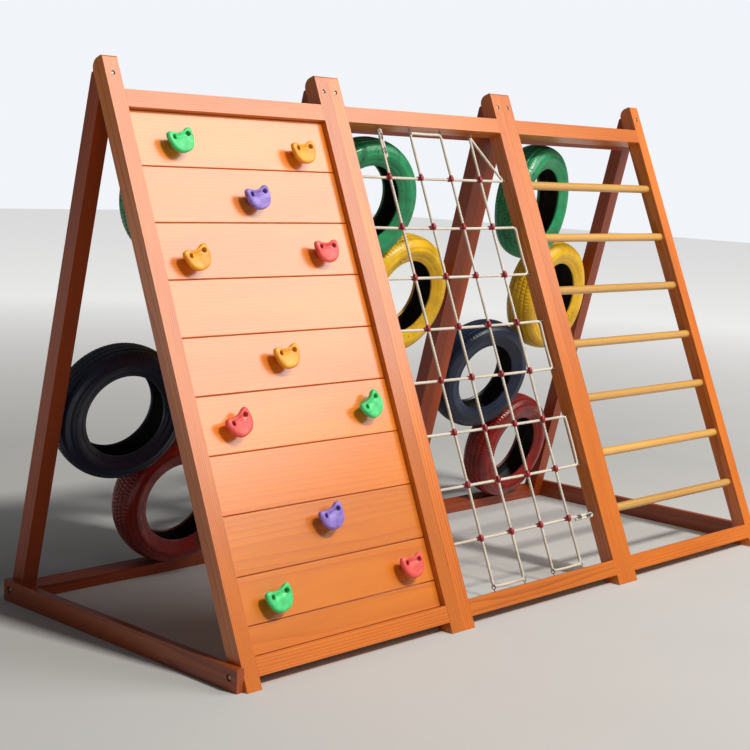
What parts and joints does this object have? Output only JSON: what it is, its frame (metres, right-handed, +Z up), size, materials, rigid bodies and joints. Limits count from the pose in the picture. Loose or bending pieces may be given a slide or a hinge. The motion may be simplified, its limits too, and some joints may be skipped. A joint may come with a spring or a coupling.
{
  "type": "playground climbing wall",
  "caption": "Timber A-frame climbing wall with a board face and bolt-on holds, a laced rope net, a rung ladder and old car tyres bolted into the rear frames.",
  "frame": {"origin": "on the ground, at the middle of the frame's bounding box", "axes": "+X along the wall from the board bay to the ladder bay, +Y from the front face to the rear face, +Z up"},
  "size_m": [3.041, 1.2866, 1.8841],
  "materials": {
    "stained_pine": "orange-brown stained pine with a satin varnish",
    "board_pine": "orange-brown stained pine boards with a satin varnish",
    "rung_pine": "paler stained round pine, slightly worn",
    "tyre_green": "old rubber tyre painted green, semi-gloss",
    "tyre_yellow": "old rubber tyre painted yellow, semi-gloss",
    "tyre_navy": "old rubber tyre painted very dark blue, semi-gloss",
    "tyre_red": "old rubber tyre painted dark red, glossy",
    "hold_green": "moulded resin, satin",
    "hold_orange": "moulded resin, satin",
    "hold_purple": "moulded resin, satin",
    "hold_red": "moulded resin, satin",
    "net_rope": "twisted off-white rope"
  },
  "bodies": {
    "root": {"board_batten_left": "stained_pine", "board_batten_right": "stained_pine", "board_panel": "board_pine", "front_bottom_rail_1": "stained_pine", "front_bottom_rail_2": "stained_pine", "front_bottom_rail_3": "stained_pine", "front_stile_1_left": "stained_pine", "front_stile_1_right": "stained_pine", "front_stile_2_left": "stained_pine", "front_stile_2_right": "stained_pine", "front_stile_3_left": "stained_pine", "front_stile_3_right": "stained_pine", "front_top_rail_1": "stained_pine", "front_top_rail_2": "stained_pine", "front_top_rail_3": "stained_pine", "hold_01_green": "hold_green", "hold_02_orange": "hold_orange", "hold_03_purple": "hold_purple", "hold_04_orange": "hold_orange", "hold_05_red": "hold_red", "hold_06_orange": "hold_orange", "hold_07_red": "hold_red", "hold_08_green": "hold_green", "hold_09_purple": "hold_purple", "hold_10_green": "hold_green", "hold_11_red": "hold_red", "net_rope": "net_rope", "rear_bottom_rail_1": "stained_pine", "rear_bottom_rail_2": "stained_pine", "rear_bottom_rail_3": "stained_pine", "rear_leg_1_left": "stained_pine", "rear_leg_1_right": "stained_pine", "rear_leg_2_left": "stained_pine", "rear_leg_2_right": "stained_pine", "rear_leg_3_left": "stained_pine", "rear_leg_3_right": "stained_pine", "rear_top_rail_1": "stained_pine", "rear_top_rail_2": "stained_pine", "rear_top_rail_3": "stained_pine", "rung_1": "rung_pine", "rung_2": "rung_pine", "rung_3": "rung_pine", "rung_4": "rung_pine", "rung_5": "rung_pine", "rung_6": "rung_pine", "rung_7": "rung_pine", "side_rail_left": "stained_pine", "side_rail_right": "stained_pine", "tyre_1_green": "tyre_green", "tyre_1_navy": "tyre_navy", "tyre_1_red": "tyre_red", "tyre_1_yellow": "tyre_yellow", "tyre_2_green": "tyre_green", "tyre_2_navy": "tyre_navy", "tyre_2_red": "tyre_red", "tyre_2_yellow": "tyre_yellow", "tyre_3_green": "tyre_green", "tyre_3_navy": "tyre_navy", "tyre_3_red": "tyre_red", "tyre_3_yellow": "tyre_yellow"}
  },
  "joints": []
}
